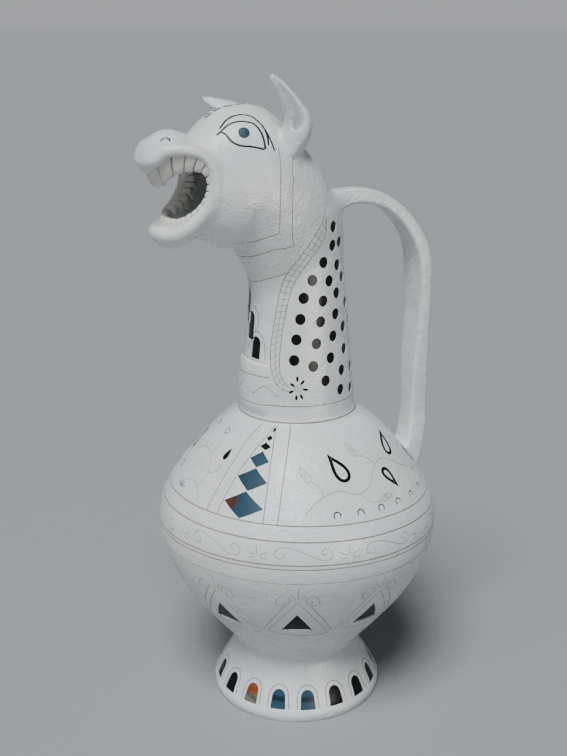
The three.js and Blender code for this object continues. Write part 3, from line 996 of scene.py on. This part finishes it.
# Triangles in frames with curled ends, round below the belly, about the middle of one.
FRAMES = 10
FRAME_MID = 64.9
FRAME_IN = [(-14.6, 107.4), (-6.2, 129.2), (0, 147.3), (6.2, 129.2), (14.6, 106.2)]
FRAME_OUT = [(-17.3, 106.6), (-9.9, 129.1), (-3.2, 148.6)]
CURL = [
    (-3.2, 148.6), (-3.6, 152.4), (-5.7, 154.3), (-8.3, 150.4), (-8.6, 144.4), (-6.8, 142.4), (-5.4, 145.4),
    (-6.0, 148.2),
]
BASE_ARC = [(-14.0, 106.0), (-7, 102.6), (0.8, 100.6), (9, 100.4), (16.6, 102.2)]
SPROUT = [((0.3, 150.4), (0.3, 162.2)), ((-1.0, 151.0), (-2.9, 156.6)), ((1.6, 151.0), (3.3, 155.6))]
TRIANGLE = [(-7.9, 109.4), (-0.3, 131.8), (7.6, 108.4)]
for k in range(FRAMES):
    mid = FRAME_MID + 360 / FRAMES * k
    scratch(second, FRAME_IN, 0.85, FAINT, shift=mid)
    for side in (1, -1):
        scratch(third, FRAME_OUT, 0.85, FAINT, shift=mid, flip=side)
        scratch(fourth, catmull(CURL, 4), 0.8, FAINT, shift=mid, flip=side)
    for stroke in SPROUT:
        scratch(fourth, stroke, 0.75, FAINT, shift=mid)
    scratch(fourth, catmull(BASE_ARC, 3), 0.9, LINE, shift=mid)
    inlay(turned(moved(TRIANGLE, mid), 4.0, closed=True), 1.5, BLACK)

# Scrolls and sprouts by turns in the band on the belly, which leans as the rings do.
SCROLL = [
    (-8.1, 195.2), (-7.1, 193.4), (-8.2, 190.9), (-10.4, 191.8), (-11.1, 195.6), (-9.6, 199.4), (-6.0, 200.0),
    (-1, 196.9), (4, 191.9), (8.4, 188.6), (10.9, 191.3), (10.8, 196.0), (8.8, 198.4), (7.0, 196.4),
    (7.4, 194.0), (8.7, 193.8),
]
SPRAY = [
    [(0, 192.6), (-0.2, 199.6)], [(-0.9, 192.0), (-4.4, 195.4)], [(0.9, 192.0), (4.2, 195.6)],
    [(-1.1, 189.9), (-4.0, 189.4)], [(1.1, 189.9), (4.2, 189.5)],
]
SCROLL_MID = 67
for k in range(20):
    mid = SCROLL_MID + 18 * k
    lean = 4.5 * (cos(radians(mid - 40)) - cos(radians(SCROLL_MID - 40)))
    if k % 2:
        for stroke in SPRAY:
            scratch(third, stroke, 0.7, FAINT, shift=mid, rise=lean)
    else:
        scratch(third, catmull(SCROLL, 3), 0.75, FAINT, shift=mid, rise=lean)

# Arched windows round the foot: their number, the bearing of the first and those that aren't black.
WINDOWS = 17
WINDOW_MID = 72.7
COLOURED = {0: BLUE, 16: BLUE, 15: RUST}
for k in range(WINDOWS):
    mid = WINDOW_MID + 360 / WINDOWS * k
    inlay(turned(arch(mid, 11.6, 6.3, 16.4, 1.1), 4.0, closed=True), 1.0, COLOURED.get(k, BLACK))
    scratch(third, arch(mid, 12.4, 9.3, 19.2, 1.06), 0.85, LINE)

# The stepped arcade on the front of the neck, over the collar: bearing, foot, height.
ARCADE = [
    (13, 337.0, 19.8), (-0.6, 352.0, 25.4), (-14, 366.0, 31.4), (-27.4, 352.0, 25.4), (-41, 337.0, 19.8),
]
ARCADE_LINES = [
    [(-4.6, 338.0), (-3.4, 344.5), (-0.6, 350.0)],
    [(6.8, 358.6), (11.2, 361.2), (20.9, 358.9), (25.7, 353.3), (28.4, 337.6)],
    [(12.4, 363.2), (14.8, 369.0), (13.4, 376.8), (7.5, 381.6), (0.9, 382.6)],
    [(-0.4, 384.4), (3.2, 390.0), (1.8, 396.4), (-5.5, 402.2), (-14, 404.2)],
]
for mid, foot, high in ARCADE:
    inlay(turned(arch(mid, foot, 6.0, high), 4.0, closed=True), 0.8, BLACK)
for run in ARCADE_LINES:
    for side in (1, -1):
        scratch(first, catmull(run, 3), 0.8, LINE, shift=COLLAR_MID * (1 - side), flip=side)
edge = [(a, 322.8 + 1.2 * sin(radians(3.5 * a))) for a in range(-61, 38, 4)]
scratch(third, edge, 0.85, LINE)
rim = [(a, COLLAR_HIGH + 1.6) for a in range(-60, 35, 4)]
third.add(groove(turned(rim), 0.8, 0.5), FAINT)
wave = [(a, 311.6 + 4.2 * cos(radians((a - 31) * 360 / 28))) for a in range(-74, 48, 3)]
scratch(third, wave, 0.85, FAINT)

# A ladder down either side of the neck to a rosette.
LADDER_OUT = [
    (98.5, 469.2), (92.8, 458.3), (84.3, 449.5), (74.2, 437.9), (64.7, 428.6), (54.5, 418.1), (47.9, 408.6),
    (42.5, 395.5), (39, 381.3), (36.6, 367.1), (34.5, 353), (34.7, 339), (38.5, 326.2), (43, 318.6),
    (50.2, 313.6), (57, 312.8),
]
LADDER_IN = [
    (100, 461.7), (99.4, 449.6), (93.8, 441.8), (83.5, 431.6), (72.1, 421.1), (62.1, 410), (56.6, 400.2),
    (52.2, 386.3), (48.9, 372.3), (46.5, 358.2), (45.4, 344.2), (46.2, 330.4), (50.7, 321.8), (56, 316.4),
]
RUNGS = 31
ROSETTE = (64.4, 315.9)
PETALS = [(0, 8.3), (4.6, 5.3), (7.2, -1.2), (3.7, -7.5), (-0.8, -8.5), (-5.3, -3.2), (-4.3, 3.0)]
outer, inner = resampled(LADDER_OUT, RUNGS), resampled(LADDER_IN, RUNGS)
for side in (1, -1):
    scratch(first, outer, 0.75, LINE, flip=side)
    scratch(first, inner, 0.75, LINE, flip=side)
    scratch(second, (outer + inner)[1:-1] / 2, 0.65, FAINT, flip=side)
    for ends in zip(outer[1:-1], inner[1:-1]):
        scratch(third, ends, 0.65, FAINT, flip=side)
turn, z = ROSETTE
coil = [((0.6 + 0.31 * k) * cos(0.62 * k), (0.6 + 0.31 * k) * sin(0.62 * k)) for k in range(13)]
for side in (1, -1):
    for x, y in PETALS:
        away = atan2(y, side * x) - pi / 2
        c, s = cos(away), sin(away)
        leaf = [(side * x + px * c - py * s, y + px * s + py * c) for px, py in oval(1.15, 2.5, 12)]
        inlay(laid(side * turn, z, leaf), 0.4, BLACK, False)
    fourth.add(groove(laid(side * turn, z, coil), 0.6), FAINT)

# Round spots over the back of the neck, on both sides: bearing and height.
DOTS = [
    (113.6, 453.4), (112.8, 437.2), (128.3, 438.6), (97.3, 423.9), (121.1, 419.4), (81.8, 409.5),
    (104.7, 407.4), (131.1, 407.9), (71.3, 394.4), (94.9, 390.8), (116.1, 395.6), (136.0, 384.5),
    (67.5, 376.2), (91.1, 373.0), (112.6, 377.6), (126.5, 364.4), (63.1, 358.4), (85.5, 354.2),
    (107.5, 358.7), (126.1, 344.4), (60.9, 340.3), (81.2, 334.6), (102.5, 340.0), (118.0, 326.5),
    (139.0, 325.5), (94.6, 320.6), (114.2, 309.6), (134.5, 307.0), (150, 420), (152, 395), (146, 366),
    (147, 345), (156, 314), (167, 405), (171, 380), (164, 355), (162, 333), (177, 320),
]
for turn, z in DOTS:
    for side in (1, -1):
        if turn < 175 or side == 1:
            inlay(laid(side * turn, z, oval(4.6, 5.0, 18)), 0.7, BLACK)

# Lines of the face, near side: ahead, aside and up.
BROW = [
    (80.6, 22.2, 537.1), (74.8, 19.9, 542.7), (69.1, 19.2, 546.1), (61.5, 20.3, 548.1), (54.5, 23, 547.1),
    (50.1, 28.4, 543.1), (47, 33.5, 537.9), (45.8, 38.2, 531), (46.3, 40.9, 525.2),
]
BROW_TAIL = [(46.2, 34.6, 536.4), (44.2, 38.4, 530.4), (41.7, 42.5, 520.8)]
LID_HIGH = [
    (84.2, 24.5, 532.3), (80.9, 24.6, 534.9), (75.2, 23.9, 539.4), (68.8, 24.6, 542.3), (61.6, 26.8, 543.2),
    (54.8, 29.7, 541.6), (51.4, 34.1, 536.9), (49.7, 37.9, 531.1), (49.4, 41.7, 522.3),
]
LID_LOW = [
    (80.2, 25.4, 534.2), (78.3, 28, 533.2), (76.1, 32.1, 529.3), (73.2, 34.6, 526.7), (67.6, 37.2, 524.8),
    (60.4, 39.1, 524.2), (50.6, 41.7, 521.9),
]
NOSTRIL = [
    (129.2, 15.3, 529.2), (126.8, 14.3, 531), (124.5, 15.1, 531.6), (122.8, 17.4, 530.9), (123.2, 20.2, 529),
]
BRIDLE = [
    [(38.1, 41.7, 522.4), (37.6, 44, 515.3), (37.9, 46.3, 503.2), (38.6, 47.1, 484.7), (37.7, 43.3, 453.5)],
    [(37.7, 43.2, 452.4), (43.9, 41, 450.7), (53.5, 34.3, 446.4), (61.4, 26.8, 443.9), (72.1, 25.9, 444.3)],
    [
        (25.6, 43.5, 515.2), (26.7, 45.4, 502.5), (26.1, 46.1, 496.3), (27, 46.6, 490.2), (27.3, 46.7, 477.7),
        (26.6, 44.5, 451.8), (25.9, 43.8, 446.5), (23.4, 43.1, 441.2),
    ],
    [(24.2, 42.8, 440.7), (41.1, 37.9, 437.7), (50.7, 27.7, 432.7), (55.7, 0.6, 427.4)],
    [(25.2, 37.2, 417.8), (37.3, 29.2, 412.7), (43.9, 12, 406.5), (44.6, 0.6, 404.0)],
]
IRIS = (64.4, 33.1, 534.9)
IRIS_R = 4.4
MANE = range(94, 21, -12)


def face(side):
    first.add(groove(on_head(BROW, side), 1.9), INK)
    second.add(groove(on_head(BROW_TAIL, side), 1.6), INK)
    first.add(groove(on_head(LID_HIGH, side), 1.9), INK)
    second.add(groove(on_head(LID_LOW, side), 1.9), INK)
    first.add(groove(on_head(NOSTRIL, side, 1.6), 1.7), INK)
    for run in BRIDLE:
        second.add(groove(on_head(run, side), 0.75), LINE)
    centre, up = outside.nearest(place(IRIS) * (1, side, 1))
    east = unit(np.cross(up, (0, 0, 1)))
    north = np.cross(east, up)

    def circle(r):
        return [outside.nearest(centre + east * x + north * y) for x, y in oval(r, r, 28)]

    inlay(circle(IRIS_R), 0.3, BLUE, False)
    first.add(groove(circle(IRIS_R + 0.1), 0.6, closed=True), INK)
    for ahead in MANE:
        stroke = [(ahead, 3.6 * side, 558), (ahead - 7, 3.6 * side, 558)]
        second.add(groove([outside.nearest(place(q)) for q in spread(stroke, 2.5)], 3.0), INK)


# A spray in the side panels of the shoulder: bearings and heights, then sizes and spin.
VINE = [
    (68, 224), (75, 234), (85, 238.5), (95, 234), (103, 238), (110, 248), (119, 252), (128, 246), (136, 238),
    (145, 240), (151, 249), (149, 257), (143, 256), (143, 250),
]
TWIGS = [
    [(77, 236.5), (75.5, 243), (70.5, 247)], [(96.5, 232.5), (100, 226.5), (106, 225)],
    [(112.5, 250.5), (108, 257.5), (101.5, 259.5)], [(129.5, 243.5), (127, 236), (121.5, 232.5)],
    [(137.5, 236.6), (143, 230.5), (149.5, 229.5)],
]
DROPS = [
    (88, 254, 6.6, 12.5, 24), (118, 238.2, 4.6, 9.0, -160), (134, 258.5, 5.4, 11.5, -38),
    (157, 236, 4.8, 9.5, 20),
]
LEAVES = [
    (68.4, 252, 3.9, 7.6, 30), (110, 226.5, 3.4, 6.6, -86), (101, 264.5, 3.6, 7.6, 20),
    (154, 224.5, 3.2, 6.2, -70),
]


def side_panel(side):
    scratch(third, catmull(VINE, 4), 0.8, FAINT, flip=side)
    for run in TWIGS:
        scratch(fourth, catmull(run, 3), 0.7, FAINT, flip=side)
    for turn, z, wide, tall, spin in DROPS:
        shape = laid(side * turn, z, drop(wide, tall), side * spin)
        first.add(groove(shape, 3.2, 0.5, closed=True), BLACK)
    for turn, z, wide, tall, spin in LEAVES:
        shape = laid(side * turn, z, drop(wide, tall, 20), side * spin)
        first.add(groove(shape, 0.75, closed=True), FAINT)
        for k in range(-2, 3):
            rib = [(-wide * 0.55, tall * (0.16 * k - 0.28)), (wide * 0.55, tall * (0.16 * k - 0.12))]
            fourth.add(groove(laid(side * turn, z, rib, side * spin), 0.55), FAINT)
    half_ring = [(3.0 * cos(pi * k / 8), 3.4 * sin(pi * k / 8)) for k in range(-1, 10)]
    for k in range(8):
        fourth.add(groove(laid(side * (82 + 11 * k), 221.6 - 0.6 * k, half_ring), 1.2), INK)


# The smaller panel over the front, between the bands.
STEM = [(15, 221), (10, 231), (12, 242), (6, 251), (-4, 255), (-12, 249.5), (-14, 241), (-9, 237.5)]
SHOOTS = [
    [(11.6, 240), (17, 245), (18.5, 250)], [(4, 252.8), (6.5, 260), (3.5, 266)],
    [(-7, 254.4), (-10, 262), (-16.5, 266)], [(10.4, 229), (4, 231.5), (-1, 228.5)],
]
BERRIES = [(3, 271, 2.8), (-18, 233, 3.2), (-20, 270.5, 2.4)]
RAYS = (-56, -28, 0, 28, 56)
scratch(third, catmull(STEM, 4), 0.8, FAINT)
for run in SHOOTS:
    scratch(fourth, catmull(run, 3), 0.7, FAINT)
first.add(groove(laid(-27, 253, drop(5.2, 11.5), 16), 2.4, 0.5, closed=True), BLACK)
inlay(laid(18.2, 258.5, drop(3.2, 6.6, 18), -12), 0.4, BLACK)
for turn, z, r in BERRIES:
    first.add(groove(laid(turn, z, oval(r, r, 16)), 0.9, closed=True), INK)
for turn in RAYS:
    c, s = cos(radians(turn)), sin(radians(turn))
    ray = np.array([(2.2 * s, 2.2 * c), (8.2 * s, 8.2 * c)])
    first.add(groove(laid(-3, 220.6, ray), 1.0), INK)
    first.add(groove(laid(-31, 222.6, 0.8 * ray), 0.9), INK)


def mouth_filled():
    """The dark band of painted shade and the teeth joined on, every other tooth in one go, as neighbours may
    touch.
    """
    blocks, shade_band = teeth()
    inside_mouth = Cutters()
    inside_mouth.add(shade_band, LINE)
    inside_mouth.work("shade_band", "UNION")
    for start in (0, 1):
        row = Cutters()
        for solid in blocks[start::2]:
            row.add(solid, TOOTH_WHITE)
        row.work("teeth", "UNION")


def smooth_normals(obj):
    """The soft shading of the uncut form on all that runs along it, and crisp edges elsewhere."""
    mesh = obj.data
    mesh.validate()
    mesh.polygons.foreach_set("use_smooth", np.ones(len(mesh.polygons), bool))
    mesh.set_sharp_from_angle(angle=radians(38))
    points = values(mesh.vertices, "co", 3) / MM
    soft, away = np.empty_like(points), np.empty(len(points))
    for k, p in enumerate(points):
        hit, _, face_at, away[k] = outside.tree.find_nearest(Vector(p))
        soft[k] = outside.normal(face_at, np.array(hit))
    corner = values(mesh.corner_normals, "vector", 3)
    vertex = values(mesh.loops, "vertex_index", kind=int)
    totals = values(mesh.polygons, "loop_total", kind=int)
    faces = np.repeat(values(mesh.polygon_normals, "vector", 3), totals, axis=0)
    along = ((faces * soft[vertex]).sum(1) > 0.8) & (away[vertex] < 2.4)
    starts = np.concatenate([[0], np.cumsum(totals)[:-1]])
    whole = np.repeat(np.minimum.reduceat(along, starts), totals)
    corner[whole] = soft[vertex][whole]
    mesh.normals_split_custom_set(corner.tolist())


for side in (1, -1):
    face(side)
for side in (1, -1):
    side_panel(side)
fills.work("fills")
first.work("first lines")
second.work("second lines")
third.work("third lines")
fourth.work("fourth lines")
mouth_filled()
smooth_normals(pitcher)
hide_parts("foot", "body", "neck", "head", "handle")
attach(pitcher, "root")


def lamp(name, size, power, place_at, aim, colour):
    data = bpy.data.lights.new(name, "AREA")
    data.shape = "RECTANGLE"
    data.size, data.size_y = size
    data.energy = power
    data.color = colour
    obj = put(name, data)
    obj.location = place_at
    obj.rotation_euler = (Vector(aim) - Vector(place_at)).to_track_quat("-Z", "Y").to_euler()
    return obj


def ground():
    material, tree, shader, _ = blank("floor", 0.9, 0)
    feed(tree, shader, {"Base Color": (0.33, 0.33, 0.338, 1)})
    turn = np.arange(64) / 64 * 2 * pi
    rim = FLOOR_RADIUS * np.column_stack([np.cos(turn), np.sin(turn), np.zeros(64)])
    disc = to_object("floor", rim, [list(range(64))])
    disc.data.materials.append(material)


def sky():
    """Pale at the horizon, as the floor is, and darker overhead."""
    world = bpy.data.worlds.new("studio")
    world.use_nodes = True
    tree = world.node_tree
    up = height_in(tree, tree.nodes.new("ShaderNodeTexCoord").outputs["Generated"])
    shade = ramp(tree, up, (0.0, (0.41, 0.415, 0.43)), (0.08, (0.33, 0.34, 0.355)), (0.4, (0.08, 0.088, 0.1)))
    tree.links.new(shade, tree.nodes["Background"].inputs["Color"])
    bpy.context.scene.world = world


def lights():
    """A soft cool light from high in front, a low warm sheen and a window on the left."""
    sun = bpy.data.lights.new("sun", "SUN")
    sun.energy = 3.9
    sun.angle = radians(26)
    sun.color = (0.95, 0.985, 1)
    put("sun", sun).rotation_euler = Vector((0.33, 0.40, -0.866)).to_track_quat("-Z", "Y").to_euler()
    sheen = lamp("sheen", (0.7, 0.35), 15, (0.32, -1.45, 0.34), (0, 0, 0.34), (1, 0.93, 0.82))
    sheen.visible_diffuse = False
    lamp("window", (0.35, 0.5), 2.2, (-1.2, -0.6, 1.3), (0, 0, 0.36), (0.86, 0.94, 1))


def camera():
    """The view of the photo, whose focal length is 1150 of its pixels at 756 pixels of height."""
    data = bpy.data.cameras.new("camera")
    data.sensor_width = 36
    data.lens = 1150 / 756 * 36
    obj = put("camera", data)
    obj.location = (-0.4340, -0.9010, 0.625)
    obj.rotation_euler = (radians(90 - 17.5), 0, radians(-25))
    bpy.context.scene.camera = obj


ground()
sky()
lights()
camera()
